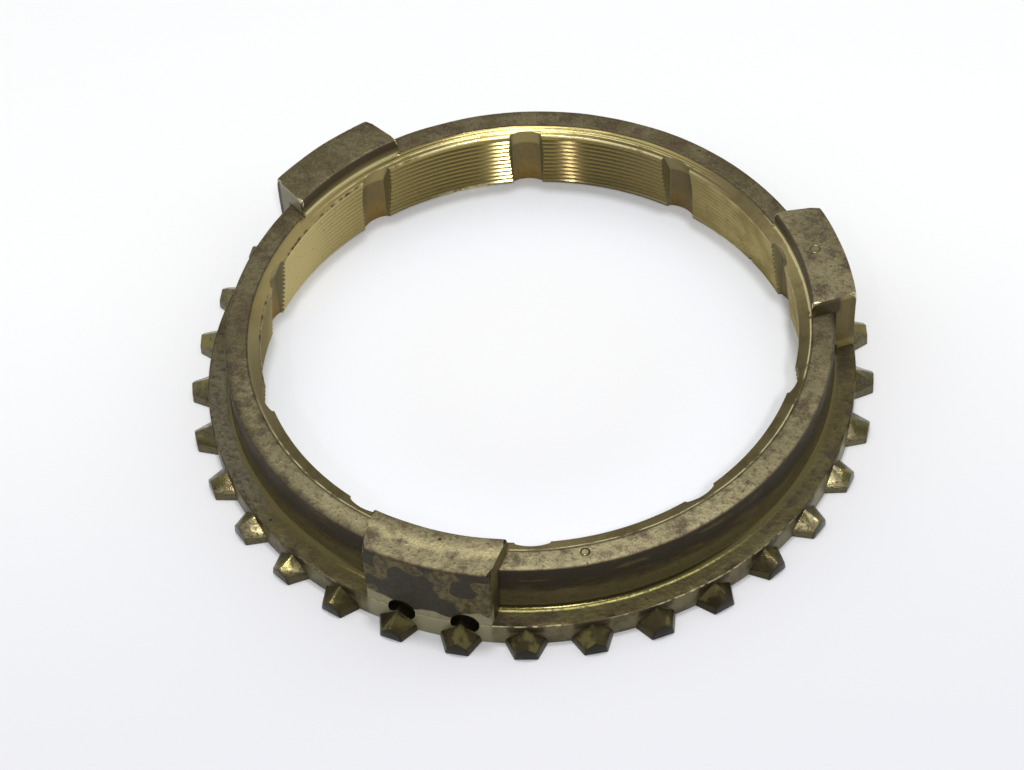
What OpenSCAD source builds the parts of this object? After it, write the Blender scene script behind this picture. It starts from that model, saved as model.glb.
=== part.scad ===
// Synchronizer ring of a manual gearbox, forged and machined as one piece of brass.
// The ring's axis is +Z, its gear-side face lies at z = 0, and one lug is centred on -Y.

/* [Friction bore] */
// Bore diameter at its small end, below the lead-in
bore_d = 65.5; // [60:0.5:75]
// Half angle of the friction cone, which opens towards the gear
cone_angle = 7; // [5:0.5:9]
// Radial width of the lead-in at the top of the bore
lead_w = 1.5; // [0.8:0.1:2]
// Drop of the lead-in from the top face
lead_drop = 0.5; // [0.2:0.1:1]

/* [Ring wall] */
// Height of the ring without its lugs
ring_h = 10.25; // [9.5:0.25:13]
// Thickness of the wall at the small end of the bore
wall_t = 4.35; // [4.1:0.05:6]
// Chamfer that breaks the top outer edges of the wall and the lugs
edge_break = 0.25; // [0.1:0.05:0.3]

/* [Flange] */
// How far the flange stands out from the wall
flange_w = 2.9; // [2.2:0.1:4.5]
// Height of the flange above the gear-side face
flange_h = 3.3; // [2.8:0.1:4]
// Fillet between the wall and the flange
fillet_r = 1; // [0.4:0.1:1.6]

/* [Teeth] */
// Number of teeth around the flange
tooth_count = 33; // [24:3:39]
// How far the teeth stand out from the flange
tooth_h = 2.25; // [1.5:0.05:3]
// Width of a tooth at its tip
tooth_tip_w = 2.75; // [2:0.05:3.2]
// Angle between a tooth's flank and its centre line
flank_angle = 26; // [20:1:32]
// Draft of a tooth's flanks, in degrees
flank_draft = 11; // [4:1:15]
// Step from the flange's top down to the start of a tooth's ridge
ridge_step = 0.45; // [0.3:0.05:0.9]
// Fall of the ridge towards the tip, in degrees
ridge_fall = 17; // [8:0.5:20]
// Slope of the two chamfers that meet in the ridge, in degrees
roof_angle = 38; // [25:1:42]

/* [Lugs] */
// Number of lugs on top of the ring
lug_count = 3; // [3:1:4]
// Width of a lug at its outer face
lug_w = 14.9; // [12:0.1:17]
// Angle by which each end of a lug opens towards the bore
lug_splay = 4.5; // [0:0.5:8]
// Height of a lug above the ring
lug_rise = 2.4; // [1.5:0.1:4]
// Distance from the lead-in's outer edge to a lug's inner face
lug_setback = 0.05; // [0.05:0.05:0.5]
// Ledge between the turned flange wall and the foot of a lug's outer face
lug_ledge = 0.1; // [0.05:0.05:0.4]
// Draft of a lug's outer face, in degrees
lug_draft = 0.7; // [0.5:0.1:3]
// Chamfer at the two ends of a lug's top, larger than the edge break
lug_end_break = 0.4; // [0.35:0.05:0.8]

/* [Lug pockets] */
// Diameter of the round-topped pocket above a tooth in a lug's outer face
pocket_d = 3.4; // [2.4:0.1:4]
// Depth of the pocket from the flange's outer wall
pocket_depth = 1; // [0.6:0.1:1.6]
// Height of the pocket's centre above the ridge of its tooth
pocket_lift = 0.3; // [0.1:0.1:1]
// Turn of the pocket from its tooth's centre line about the ring's axis, in degrees
pocket_turn = 0.9; // [0:0.1:1.2]

/* [Oil grooves] */
// Number of oil grooves around the bore
groove_count = 10; // [6:1:12]
// Width of a groove's floor
groove_w = 3.7; // [2.5:0.1:4.5]
// Depth of a groove at the large end of the bore
groove_depth = 0.9; // [0.5:0.1:1.4]
// Radius of a groove's hollow floor
groove_floor_r = 3.75; // [3:0.05:6]
// Draft of a groove's sides, in degrees
groove_draft = 20; // [10:1:30]
// Height at which a groove's floor starts to run out
groove_straight_h = 6.7; // [5.5:0.1:7.5]
// Slope of the run-out, in degrees from the ring's axis
groove_runout = 22; // [18:0.5:26]

/* [Hidden] */
$fn = 96;

// Overshoot of cutters and embedded roots past the faces they cross
overlap = 1;
// How far a tooth's root reaches into the flange
tooth_root_depth = 0.5;
// Azimuth of the first lug, the first groove and the ring's first tooth gap
lug_azimuth = 270;
groove_azimuth = 0;

bore_r = bore_d / 2;
bore_top_z = ring_h - lead_drop;
bore_large_r = bore_r + bore_top_z * tan(cone_angle);
lead_r = bore_r + lead_w;
wall_r = bore_r + wall_t;
flange_r = wall_r + flange_w;
tip_r = flange_r + tooth_h;
ridge_z = flange_h - ridge_step;
tooth_pitch = 360 / tooth_count;
lug_inner_r = lead_r + lug_setback;
lug_top_z = ring_h + lug_rise;
lug_foot_r = flange_r - lug_ledge;
lug_top_r = lug_foot_r - (lug_top_z - flange_h) * tan(lug_draft);
lug_spacing = 360 / lug_count;
lug_half_angle = asin(lug_w / 2 / flange_r);
pocket_reach = asin(pocket_d / 2 / flange_r) + pocket_turn;
groove_floor_x = bore_large_r + groove_depth;

// Half width of a groove at radius x on its centre line
function groove_half_w(x) = groove_w / 2 + (groove_floor_x - x) * tan(groove_draft);

// Azimuth of tooth k, counted from the gap at the first lug
function tooth_azimuth(k) = lug_azimuth + (k + 0.5) * tooth_pitch;

// Angle from an azimuth to the nearest lug's centre
function angle_to_lug(azimuth) =
    let (turn = (azimuth - lug_azimuth) % lug_spacing)
    min(turn, lug_spacing - turn);

// Section of the plain ring: cone bore, lead-in, wall, fillet and flange
module ring_section() {
    polygon([
        [bore_large_r, 0],
        [flange_r, 0],
        [flange_r, flange_h],
        [wall_r, flange_h],
        [wall_r, ring_h - edge_break],
        [wall_r - edge_break, ring_h],
        [lead_r, ring_h],
        [bore_r, bore_top_z]
    ]);
    translate([wall_r, flange_h])
        difference() {
            translate([-overlap, -overlap]) square(fillet_r + overlap);
            translate([fillet_r, fillet_r]) circle(r = fillet_r);
        }
}

// Space under the two chamfers of the tooth on +X, which meet in a falling ridge
module under_tooth_roof(inner_reach) {
    half_w = tooth_tip_w + tooth_h;
    depth = 2 * flange_h + half_w;
    translate([flange_r, 0, ridge_z])
        rotate([0, ridge_fall, 0])
        translate([-inner_reach, 0, 0])
        rotate([90, 0, 90])
        linear_extrude(inner_reach + tooth_h + 2 * overlap)
        polygon([
            [-half_w, -depth],
            [half_w, -depth],
            [half_w, -half_w * tan(roof_angle)],
            [0, 0],
            [-half_w, -half_w * tan(roof_angle)]
        ]);
}

// Space on the inner side of one drafted flank of the tooth on +X
module inside_flank(side) {
    reach = 2 * (tooth_tip_w + tooth_h);
    translate([tip_r, side * tooth_tip_w / 2, 0])
        rotate(-side * flank_angle)
        translate([-reach, 0, 0])
        rotate([90, 0, 90])
        linear_extrude(2 * reach)
        polygon([
            [0, 0],
            [-side * flange_h * tan(flank_draft), flange_h],
            [-side * reach, flange_h],
            [-side * reach, 0]
        ]);
}

// One pointed tooth on +X, rooted in the flange
module tooth() {
    intersection() {
        cylinder(r = tip_r, h = flange_h);
        inside_flank(1);
        inside_flank(-1);
        under_tooth_roof(tooth_root_depth);
    }
}

// Section of the lugs, rooted in the flange and the wall
module lug_section() {
    polygon([
        [lug_inner_r, flange_h / 2],
        [lug_foot_r, flange_h / 2],
        [lug_foot_r, flange_h],
        [lug_top_r, lug_top_z - edge_break],
        [lug_top_r - edge_break, lug_top_z],
        [lug_inner_r + edge_break, lug_top_z],
        [lug_inner_r, lug_top_z - edge_break]
    ]);
}

// Space on the inner side of one end of the lug on +X
module inside_lug_end(side) {
    reach = flange_r / 2;
    translate([flange_r, side * lug_w / 2, 0])
        rotate(-side * lug_splay)
        translate([-reach, 0, 0])
        rotate([90, 0, 90])
        linear_extrude(2 * reach)
        polygon([
            [0, 0],
            [0, lug_top_z - lug_end_break],
            [-side * lug_end_break, lug_top_z],
            [-side * reach, lug_top_z],
            [-side * reach, 0]
        ]);
}

// All lugs, cut from one turned section
module lugs() {
    intersection() {
        rotate_extrude() lug_section();
        for (k = [0 : lug_count - 1])
            rotate(lug_azimuth + k * lug_spacing)
                intersection() {
                    inside_lug_end(1);
                    inside_lug_end(-1);
                }
    }
}

// Pocket in a lug's outer face above the tooth on +X
module lug_pocket() {
    difference() {
        rotate(pocket_turn)
            translate([flange_r - pocket_depth, 0, ridge_z + pocket_lift])
            rotate([0, 90, 0])
            cylinder(d = pocket_d, h = pocket_depth + tooth_h);
        under_tooth_roof(pocket_depth + overlap);
    }
}

// Plan of an oil groove on +X: drafted sides and a hollow floor
module groove_plan() {
    mouth_x = bore_r - groove_straight_h * tan(groove_runout) - overlap;
    back_x = groove_floor_x + overlap;
    intersection() {
        polygon([
            [mouth_x, -groove_half_w(mouth_x)],
            [back_x, -groove_half_w(back_x)],
            [back_x, groove_half_w(back_x)],
            [mouth_x, groove_half_w(mouth_x)]
        ]);
        translate([groove_floor_x - groove_floor_r, 0]) circle(r = groove_floor_r);
    }
}

// One oil groove on +X: upright from the gear side, then running out towards the lead-in
module oil_groove() {
    reach = ring_h + 2 * overlap;
    intersection() {
        translate([0, 0, -overlap]) linear_extrude(reach) groove_plan();
        translate([groove_floor_x, 0, groove_straight_h])
            rotate([0, -groove_runout, 0])
            translate([-groove_floor_x, 0, -reach])
            linear_extrude(2 * reach) groove_plan();
    }
}

module synchronizer_ring() {
    color("#8c7d4a")
        difference() {
            union() {
                rotate_extrude() ring_section();
                for (k = [0 : tooth_count - 1])
                    rotate(tooth_azimuth(k)) tooth();
                lugs();
            }
            for (k = [0 : groove_count - 1])
                rotate(groove_azimuth + k * 360 / groove_count) oil_groove();
            for (k = [0 : tooth_count - 1])
                if (angle_to_lug(tooth_azimuth(k)) + pocket_reach < lug_half_angle)
                    rotate(tooth_azimuth(k)) lug_pocket();
        }
}

synchronizer_ring();
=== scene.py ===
"""Looks of the synchronizer ring: a fine mesh with its bore thread, worn brass and a pale studio."""

import math
import random

import bmesh
import bpy
from mathutils import Matrix, Vector, noise


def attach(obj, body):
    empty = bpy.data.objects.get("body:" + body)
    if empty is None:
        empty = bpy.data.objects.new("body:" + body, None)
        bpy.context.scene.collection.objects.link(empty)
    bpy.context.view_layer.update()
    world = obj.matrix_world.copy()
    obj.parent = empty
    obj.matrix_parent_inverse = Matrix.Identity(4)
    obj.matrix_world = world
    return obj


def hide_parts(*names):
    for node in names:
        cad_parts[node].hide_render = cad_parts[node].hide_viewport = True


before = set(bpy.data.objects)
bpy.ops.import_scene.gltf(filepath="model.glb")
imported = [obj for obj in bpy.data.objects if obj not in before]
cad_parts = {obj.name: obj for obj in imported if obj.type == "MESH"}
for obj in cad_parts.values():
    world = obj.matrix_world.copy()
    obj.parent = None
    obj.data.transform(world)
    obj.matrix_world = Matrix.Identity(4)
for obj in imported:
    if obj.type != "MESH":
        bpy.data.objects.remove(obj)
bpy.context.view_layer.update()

MM = 0.001

# Friction bore, in millimetres and degrees as all sizes of the ring
BORE_R = 32.75
BORE_TOP_Z = 9.75
CONE_ANGLE = 7
LEAD_R = 34.25
# Rounding of the edge between the bore and the lead-in, and the height at which it begins
BORE_EDGE_R = 0.15
BORE_END_Z = 9.6
THREAD_PITCH = 0.8
THREAD_DEPTH = 0.3
# Where a crest begins and ends and a root begins and ends, as shares of the pitch
THREAD_STOPS = (0, 0.38, 0.7, 0.77)
# Height at which the thread has run out below a plain land, and the height that its run-out takes
LAND_Z = 9.2
THREAD_RUNOUT = 0.3

# Ring wall and flange
RING_H = 10.25
WALL_R = 37.1
WALL_EDGE_R = 0.28
FILLET_R = 1
FLANGE_R = 40
FLANGE_H = 3.3
FLANGE_EDGE_R = 0.1
# Rim of the flange's top that is turned together with its outer wall
FLANGE_RIM_W = 0.12
# Radius at which the gear-side face meets the face that ends at the thread
FACE_INNER_R = 34.7

# Teeth
TOOTH_COUNT = 33
TIP_R = 42.25
TOOTH_TIP_W = 2.75
FLANK_ANGLE = 26
FLANK_DRAFT = 11
RIDGE_Z = 2.85
RIDGE_FALL = 17
ROOF_ANGLE = 38
TOOTH_ROOT_R = 38.8
# Differences between the teeth: tilt of the two chamfers, drop of the ridge and softening of the edges
TOOTH_SEED = 7
ROOF_TILT = 0.06
RIDGE_DROP = (-0.05, 0.08)
TOOTH_EDGE_W = (0.09, 0.15)

# Lugs and the pockets in their outer walls
LUG_COUNT = 3
LUG_AZIMUTH = 270
LUG_W = 14.9
LUG_SPLAY = 4.5
LUG_INNER_R = 34.3
LUG_FOOT_R = 39.9
LUG_TOP_R = 39.786
LUG_TOP_Z = 12.65
LUG_EDGE_R = 0.38
LUG_END_BREAK = 0.3
LUG_FOOT_FILLET = 0.4
# Toe of the fillet at a lug's inner foot, sunk into the lead-in: its width, its drop and its root's drop
LUG_TOE_W = 0.7
LUG_TOE_DROP = 0.3
LUG_TOE_ROOT_DROP = 1.5
POCKET_D = 3.4
POCKET_FLOOR_R = 39
POCKET_Z = 3.15
POCKET_TURN = 0.9

# Oil grooves
GROOVE_COUNT = 10
GROOVE_FLOOR_R = 34.85
GROOVE_W = 3.7
GROOVE_HOLLOW_R = 3.75
GROOVE_DRAFT = 20
GROOVE_STRAIGHT_H = 6.7
GROOVE_RUNOUT = 22
GROOVE_TOP_WIDENING = 1.1

# How far cutters reach past the faces they cross
OVERLAP = 1
GROOVE_MOUTH_OVERLAP = 0.6

# Dents in the top faces: radius, azimuth and height of each place, and the dent's own radius
RING_DENTS = ((35.26, 297.7, RING_H, 0.5), (36.36, 31.1, LUG_TOP_Z, 0.6))
PITS = (
    (35.56, 271.1, LUG_TOP_Z, 0.32),
    (37.86, 34.8, LUG_TOP_Z, 0.22),
    (37.48, 26.2, LUG_TOP_Z, 0.25),
    (37.43, 23.1, LUG_TOP_Z, 0.22),
    (36.9, 297.6, RING_H, 0.25),
    (34.66, 205.2, RING_H, 0.2),
    (36.3, 69.8, RING_H, 0.25),
    (38.6, 359, FLANGE_H, 0.22),
    (38.9, 235, FLANGE_H, 0.25),
    (36.2, 330, RING_H, 0.22),
    (35.6, 112, RING_H, 0.2),
)
# Nicks in edges, placed in the same way
NICKS = ((39.9, 142.5, LUG_TOP_Z, 0.45), (34.05, 50.5, 0, 0.4), (32.9, 120, 0, 0.3))
# Tube that presses a ring-shaped dent, and how far its centre stands above the face
DENT_TUBE_R = 0.15
DENT_TUBE_LIFT = 0.1
# Height of the centre of a pit or a nick above its face, as a share of its radius
PIT_LIFT = 0.7
NICK_LIFT = 0.35

# Unevenness of the forged faces
NOISE_SEED = 7
FORGED_WAVE = 0.05
FORGED_WAVE_LENGTH = 4.5

# Fineness of the mesh: numbers of parts, and the longest steps of the sections
BODY_COLUMNS = 700
BODY_STEP = 0.7
LUG_STATIONS = 34
LUG_STEP = 0.8
POCKET_PARTS = 48
GROOVE_FLOOR_PARTS = 18
DENT_PARTS = 24
DENT_TUBE_PARTS = 8
# Edges with a larger angle between their faces are shaded sharp
SHARP_ANGLE = 32

MATERIALS = ("bore", "lead", "forged", "turned", "teeth", "groove", "worn")


def tan(angle):
    return math.tan(math.radians(angle))


def arc_corner(before, corner, after, radius, parts):
    """Points of an arc of that radius in place of a corner."""
    a = (before - corner).normalized()
    b = (after - corner).normalized()
    half = a.angle(b) / 2
    reach = radius / math.tan(half)
    centre = corner + (a + b).normalized() * (radius / math.sin(half))
    start = corner + a * reach - centre
    end = corner + b * reach - centre
    sweep = start.angle(end)
    points = []
    for k in range(parts + 1):
        from_start = start * math.sin(sweep * (1 - k / parts))
        from_end = end * math.sin(sweep * k / parts)
        points.append(centre + (from_start + from_end) / math.sin(sweep))
    return points


def smooth_path(corners, longest):
    """A path through (x, y, radius, parts) corners, rounded where the radius isn't 0, in short steps."""
    points = [Vector(c[:2]) for c in corners]
    path = [points[0]]
    for before, corner, after, (_, _, radius, parts) in zip(points, points[1:], points[2:], corners[1:]):
        path += arc_corner(before, corner, after, radius, parts) if radius else [corner]
    path.append(points[-1])
    fine = [path[0]]
    for a, b in zip(path, path[1:]):
        cuts = max(1, math.ceil((b - a).length / longest))
        fine += [a.lerp(b, k / cuts) for k in range(1, cuts + 1)]
    return fine


def new_object(name, bm):
    """An object of that mesh, with faces turned outwards."""
    bmesh.ops.recalc_face_normals(bm, faces=bm.faces)
    mesh = bpy.data.meshes.new(name)
    bm.to_mesh(mesh)
    bm.free()
    for material in MATERIALS:
        mesh.materials.append(bpy.data.materials[material])
    piece = bpy.data.objects.new(name, mesh)
    bpy.context.scene.collection.objects.link(piece)
    return piece


def slot_of(name):
    return MATERIALS.index(name)


def loft(bm, loops, slot):
    """Joins closed loops of equal length in turn, with a cap on the first and the last."""
    rings = [[bm.verts.new(p) for p in loop] for loop in loops]
    faces = []
    for low, high in zip(rings, rings[1:]):
        for k in range(len(low)):
            n = (k + 1) % len(low)
            faces.append(bm.faces.new((low[k], low[n], high[n], high[k])))
    faces.append(bm.faces.new(rings[0]))
    faces.append(bm.faces.new(rings[-1]))
    for face in faces:
        face.material_index = slot
    return rings


def bevel(bm, edges, width, segments, slot):
    """Rounds edges, with faces of that slot in their place."""
    result = bmesh.ops.bevel(
        bm,
        geom=list(dict.fromkeys(edges)),
        offset=width,
        segments=segments,
        profile=0.5,
        affect="EDGES",
        clamp_overlap=True,
    )
    for face in result["faces"]:
        face.material_index = slot


def turned(points, azimuth):
    """Points given on +X, turned to an azimuth."""
    turn = Matrix.Rotation(math.radians(azimuth), 3, "Z")
    return [turn @ Vector(p) for p in points]


def uneven(x, y, z):
    """A place on a forged face, moved a little."""
    place = Vector((x, y, z))
    return place + noise.noise_vector(place / FORGED_WAVE_LENGTH) * FORGED_WAVE


def bore_radius(z):
    return BORE_R + (BORE_TOP_Z - z) * tan(CONE_ANGLE)


def thread_cut(phase):
    """Share of the thread's depth at a phase in pitches."""
    p = phase % 1
    _, crest_end, root, root_end = THREAD_STOPS
    if p < crest_end:
        return 0
    if p < root:
        return (p - crest_end) / (root - crest_end)
    if p < root_end:
        return 1
    return (1 - p) / (1 - root_end)


def body_section():
    """Points of the body's section from the lead-in to the gear-side face, and the slot of each step."""
    parts = (
        (
            "lead",
            (bore_radius(BORE_END_Z), BORE_END_Z, 0, 0),
            (BORE_R, BORE_TOP_Z, BORE_EDGE_R, 3),
            (LEAD_R, RING_H, 0, 0),
        ),
        (
            "forged",
            (LEAD_R, RING_H, 0, 0),
            (WALL_R, RING_H, WALL_EDGE_R, 4),
            (WALL_R, FLANGE_H, FILLET_R, 7),
            (FLANGE_R - FLANGE_RIM_W, FLANGE_H, 0, 0),
        ),
        (
            "turned",
            (FLANGE_R - FLANGE_RIM_W, FLANGE_H, 0, 0),
            (FLANGE_R, FLANGE_H, FLANGE_EDGE_R, 2),
            (FLANGE_R, 0, FLANGE_EDGE_R, 2),
            (FACE_INNER_R, 0, 0, 0),
        ),
    )
    points = []
    slots = []
    for name, *corners in parts:
        path = smooth_path(corners, BODY_STEP)
        points += path[1:]
        slots += [slot_of(name)] * (len(path) - 1)
    return points, slots[1:]


def bore_column(bm, rows, turn, c, s):
    """Vertices up the bore at a share of a turn, on the stops of the helical thread."""
    column = []
    last_z = None
    for row in rows:
        pitches, stop = divmod(row, len(THREAD_STOPS))
        z = THREAD_PITCH * (pitches + THREAD_STOPS[stop] + turn)
        z = min(max(z, 0), BORE_END_Z)
        if z != last_z:
            run_out = min(max((LAND_Z - z) / THREAD_RUNOUT, 0), 1)
            r = bore_radius(z) + THREAD_DEPTH * run_out * thread_cut(z / THREAD_PITCH - turn)
            vertex = bm.verts.new((r * c, r * s, z))
        column.append(vertex)
        last_z = z
    return column


def ring_body():
    """The turned ring with its helical thread, as columns of rows that follow the helix in the bore."""
    section, slots = body_section()
    forged_points = [slot_of("forged") in slots[max(k - 1, 0) : k + 1] for k in range(len(section))]
    turns = math.ceil(BORE_TOP_Z / THREAD_PITCH)
    per_turn = len(THREAD_STOPS)
    bore_rows = range(-per_turn, turns * per_turn + 1)
    bm = bmesh.new()
    bore = []
    rest = []
    for j in range(BODY_COLUMNS):
        turn = j / BODY_COLUMNS
        angle = math.tau * turn
        c, s = math.cos(angle), math.sin(angle)
        bore.append(bore_column(bm, bore_rows, turn, c, s))
        rest.append([])
        for p, forged in zip(section, forged_points):
            place = (p.x * c, p.x * s, p.y)
            rest[j].append(bm.verts.new(uneven(*place) if forged else place))

    def face(corners, slot):
        unique = list(dict.fromkeys(corners))
        if len(unique) > 2:
            bm.faces.new(unique).material_index = slot

    top = len(bore_rows) - 1
    for j in range(BODY_COLUMNS):
        n = (j + 1) % BODY_COLUMNS
        shift = per_turn if n == 0 else 0
        for k in range(top):
            a = min(k + shift, top)
            b = min(k + 1 + shift, top)
            face((bore[j][k], bore[n][a], bore[n][b], bore[j][k + 1]), slot_of("bore"))
        face((bore[j][top], bore[n][top], rest[n][0], rest[j][0]), slot_of("lead"))
        for k, slot in enumerate(slots):
            face((rest[j][k], rest[n][k], rest[n][k + 1], rest[j][k + 1]), slot)
        face((rest[j][-1], rest[n][-1], bore[n][0], bore[j][0]), slot_of("turned"))
    return new_object("synchronizer_ring_visual", bm)


def tooth_turn(k):
    """Azimuth of tooth k from the first lug, which stands above a gap."""
    return (k + 0.5) * 360 / TOOTH_COUNT


def ridge_height(x):
    return RIDGE_Z - (x - FLANGE_R) * tan(RIDGE_FALL)


def roof_slope():
    return tan(ROOF_ANGLE) / math.cos(math.radians(RIDGE_FALL))


def tooth_section(x, tilt, ridge_drop):
    """Section of a tooth on +X across its centre line: base, two chamfers and the ridge between them."""
    base = TOOTH_TIP_W / 2 + (TIP_R - x) * tan(FLANK_ANGLE)
    ridge = ridge_height(x) - ridge_drop
    lean = tan(FLANK_DRAFT) / math.cos(math.radians(FLANK_ANGLE))
    points = [(x, -base, 0), (x, base, 0)]
    for side in (1, -1):
        rise = roof_slope() * (1 + side * tilt)
        eave_z = (ridge - base * rise) / (1 - lean * rise)
        points.append((x, side * (base - eave_z * lean), eave_z))
    points.insert(3, (x, 0, ridge))
    return points


def teeth():
    """All teeth, each a little different, with softened edges."""
    draw = random.Random(TOOTH_SEED)
    bm = bmesh.new()
    for k in range(TOOTH_COUNT):
        azimuth = LUG_AZIMUTH + tooth_turn(k)
        tilt = draw.uniform(-ROOF_TILT, ROOF_TILT)
        ridge_drop = draw.uniform(*RIDGE_DROP)
        loops = [turned(tooth_section(x, tilt, ridge_drop), azimuth) for x in (TOOTH_ROOT_R, TIP_R)]
        _, tip = loft(bm, loops, slot_of("teeth"))
        edges = [e for v in tip for e in v.link_edges]
        bevel(bm, edges, draw.uniform(*TOOTH_EDGE_W), segments=2, slot=slot_of("teeth"))
    return new_object("teeth", bm)


def lug_point(share, radius, z):
    """A place on the lug on +X at a radius, with share running from -1 at one end to 1 at the other."""
    x = radius
    for _ in range(3):
        y = share * (LUG_W / 2 + (FLANGE_R - x) * tan(LUG_SPLAY))
        x = math.sqrt(radius**2 - y**2)
    return x, y, z


def lugs():
    """The lugs, swept between their ends, with rounded edges."""
    corners = [
        (LUG_INNER_R, FLANGE_H / 2, 0, 0),
        (LUG_FOOT_R, FLANGE_H / 2, 0, 0),
        (LUG_FOOT_R, FLANGE_H, 0, 0),
        (LUG_TOP_R, LUG_TOP_Z, LUG_EDGE_R, 4),
        (LUG_INNER_R, LUG_TOP_Z, LUG_EDGE_R, 4),
        (LUG_INNER_R, RING_H, LUG_FOOT_FILLET, 5),
        (LUG_INNER_R - LUG_TOE_W, RING_H - LUG_TOE_DROP, 0, 0),
        (LUG_INNER_R, RING_H - LUG_TOE_ROOT_DROP, 0, 0),
    ]
    section = smooth_path(corners + corners[:1], LUG_STEP)[:-1]
    bm = bmesh.new()
    for k in range(LUG_COUNT):
        azimuth = LUG_AZIMUTH + k * 360 / LUG_COUNT
        loops = []
        for i in range(LUG_STATIONS + 1):
            share = 2 * i / LUG_STATIONS - 1
            loops.append([uneven(*p) for p in turned([lug_point(share, p.x, p.y) for p in section], azimuth)])
        rings = loft(bm, loops, slot_of("forged"))
        ends = (rings[0], rings[-1])
        edges = [e for end in ends for v in end for e in v.link_edges if e.other_vert(v) in end]
        bevel(bm, edges, LUG_END_BREAK, segments=3, slot=slot_of("worn"))
    return new_object("lugs", bm)


def pockets():
    """Cutters for the round-topped pockets in the lugs, each down to the chamfers of the tooth below it."""
    reach = math.degrees(math.asin(POCKET_D / 2 / FLANGE_R)) + POCKET_TURN
    lug_half = math.degrees(math.asin(LUG_W / 2 / FLANGE_R))
    circle = [math.tau * i / POCKET_PARTS for i in range(POCKET_PARTS)]
    bm = bmesh.new()
    for k in range(TOOTH_COUNT):
        azimuth = tooth_turn(k)
        from_lug = azimuth % (360 / LUG_COUNT)
        if min(from_lug, 360 / LUG_COUNT - from_lug) + reach < lug_half:
            loops = []
            for x in (POCKET_FLOOR_R, TIP_R + OVERLAP):
                aside = x * tan(POCKET_TURN)
                outline = []
                for a in circle:
                    y = POCKET_D / 2 * math.cos(a)
                    z = POCKET_Z + POCKET_D / 2 * math.sin(a)
                    outline.append((x, y, max(z, ridge_height(x) - abs(y + aside) * roof_slope())))
                loops.append(turned(outline, LUG_AZIMUTH + azimuth + POCKET_TURN))
            loft(bm, loops, slot_of("teeth"))
    return new_object("pockets", bm)


def groove_plan():
    """Plan of an oil groove on +X: drafted sides and a hollow floor."""
    centre = GROOVE_FLOOR_R - GROOVE_HOLLOW_R
    mouth_x = BORE_R - GROOVE_STRAIGHT_H * tan(GROOVE_RUNOUT) - GROOVE_MOUTH_OVERLAP
    half_angle = math.asin(GROOVE_W / 2 / GROOVE_HOLLOW_R)
    floor = []
    for i in range(GROOVE_FLOOR_PARTS + 1):
        a = half_angle * (2 * i / GROOVE_FLOOR_PARTS - 1)
        floor.append((centre + GROOVE_HOLLOW_R * math.cos(a), GROOVE_HOLLOW_R * math.sin(a)))
    edge_x, edge_y = floor[-1]
    mouth_y = edge_y + (edge_x - mouth_x) * tan(GROOVE_DRAFT)
    return [(mouth_x, -mouth_y)] + floor + [(mouth_x, mouth_y)]


def grooves():
    """Cutters for the oil grooves: upright from the gear side, then running out towards the lead-in."""
    runout = math.radians(GROOVE_RUNOUT)
    plan = groove_plan()
    top_z = RING_H + OVERLAP
    top_shift = (top_z - GROOVE_STRAIGHT_H) * math.tan(runout)
    bm = bmesh.new()
    for k in range(GROOVE_COUNT):
        loops = [[(x, y, -OVERLAP) for x, y in plan], [], []]
        for x, y in plan:
            back = x - GROOVE_FLOOR_R
            bend_z = GROOVE_STRAIGHT_H + back * (1 - math.cos(runout)) / math.sin(runout)
            loops[1].append((x, y, bend_z))
            top_x = GROOVE_FLOOR_R + back / math.cos(runout) - top_shift
            loops[2].append((top_x, GROOVE_TOP_WIDENING * y, top_z))
        loft(bm, [turned(loop, k * 360 / GROOVE_COUNT) for loop in loops], slot_of("groove"))
    return new_object("grooves", bm)


def ring_dent(bm, radius, azimuth, flat_z, size):
    """A cutter for a ring-shaped dent: a closed tube, set on the uneven face."""
    z = uneven(*turned([(radius, 0, flat_z)], azimuth)[0]).z + DENT_TUBE_LIFT
    circle = [math.tau * k / DENT_TUBE_PARTS for k in range(DENT_TUBE_PARTS)]
    tube = [(size + DENT_TUBE_R * math.cos(c), z + DENT_TUBE_R * math.sin(c)) for c in circle]
    rings = []
    for i in range(DENT_PARTS):
        a = math.tau * i / DENT_PARTS
        loop = [(radius + arm * math.cos(a), arm * math.sin(a), height) for arm, height in tube]
        rings.append([bm.verts.new(p) for p in turned(loop, azimuth)])
    for k, before in enumerate(rings):
        after = rings[(k + 1) % DENT_PARTS]
        for i in range(DENT_TUBE_PARTS):
            n = (i + 1) % DENT_TUBE_PARTS
            bm.faces.new((before[i], before[n], after[n], after[i]))


def dents():
    """Cutters for the ring-shaped dents, pits and nicks."""
    bm = bmesh.new()
    for dent in RING_DENTS:
        ring_dent(bm, *dent)
    for places, lift in ((PITS, PIT_LIFT), (NICKS, NICK_LIFT)):
        for radius, azimuth, z, size in places:
            centre = turned([(radius, 0, z + lift * size)], azimuth)[0]
            bmesh.ops.create_icosphere(bm, subdivisions=2, radius=size, matrix=Matrix.Translation(centre))
    for face in bm.faces:
        face.material_index = slot_of("teeth")
    return new_object("dents", bm)


def cut(piece, tool, operation):
    """Joins a tool to the piece or cuts it away, and removes the tool."""
    modifier = piece.modifiers.new(tool.name, "BOOLEAN")
    modifier.operation = operation
    modifier.object = tool
    modifier.solver = "MANIFOLD"
    graph = bpy.context.evaluated_depsgraph_get()
    result = bpy.data.meshes.new_from_object(piece.evaluated_get(graph))
    piece.modifiers.clear()
    piece.data = result
    bpy.data.objects.remove(tool)


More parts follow.
